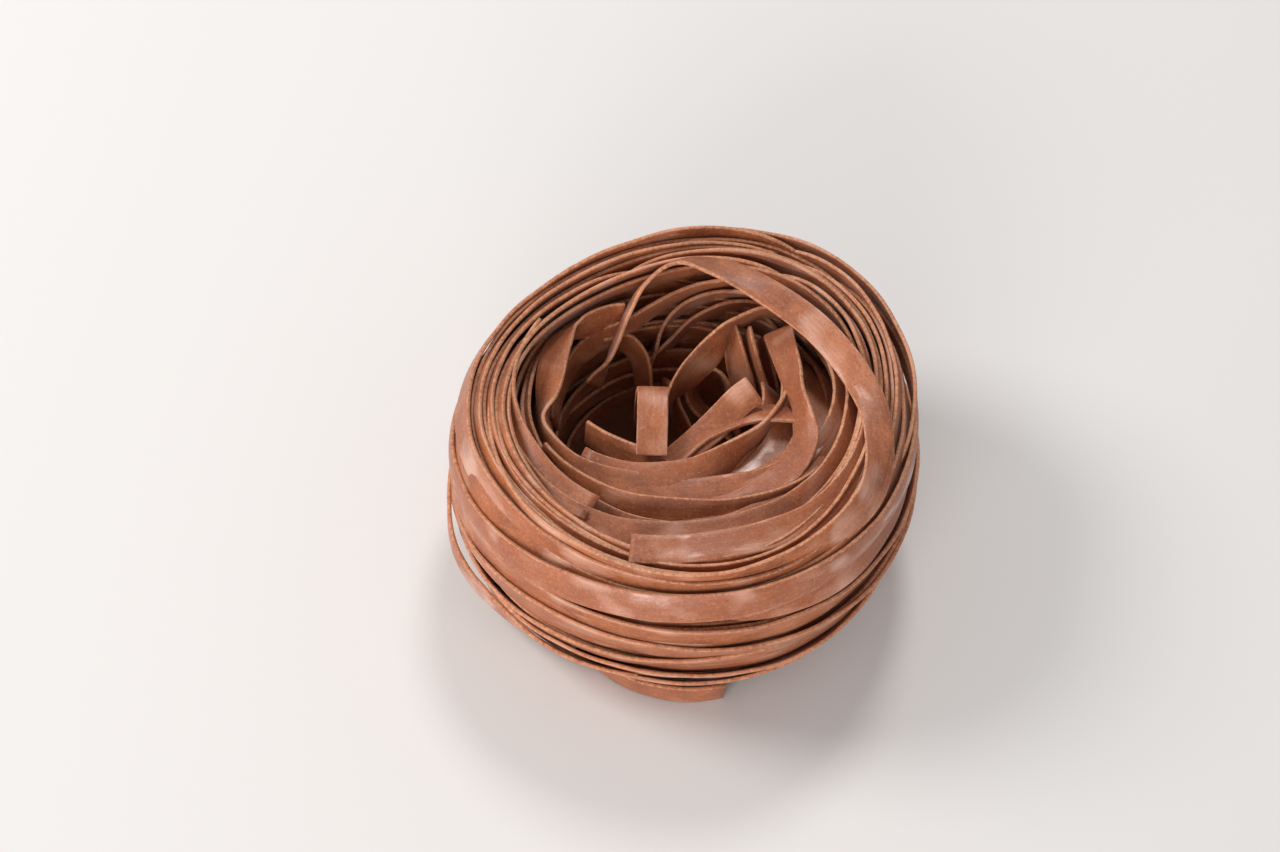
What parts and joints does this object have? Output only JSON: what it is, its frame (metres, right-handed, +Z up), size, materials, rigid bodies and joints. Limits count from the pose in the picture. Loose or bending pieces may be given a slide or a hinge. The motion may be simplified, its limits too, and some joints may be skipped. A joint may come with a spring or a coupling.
{
  "type": "dry pasta nest",
  "caption": "Dry nest of flat brown wholegrain ribbon pasta, wound into a thick ring round an open, uneven hollow that loose strands cross.",
  "frame": {"origin": "middle of the flat base the nest rests on", "axes": "+Z up through the open hollow, -Y towards the low front of the rim, +X to the right of it"},
  "size_m": [0.0696, 0.0696, 0.0339],
  "materials": {
    "pasta": "dry wholegrain pasta, satin, with bran specks"
  },
  "bodies": {
    "root": {"nest": "pasta"}
  },
  "joints": []
}
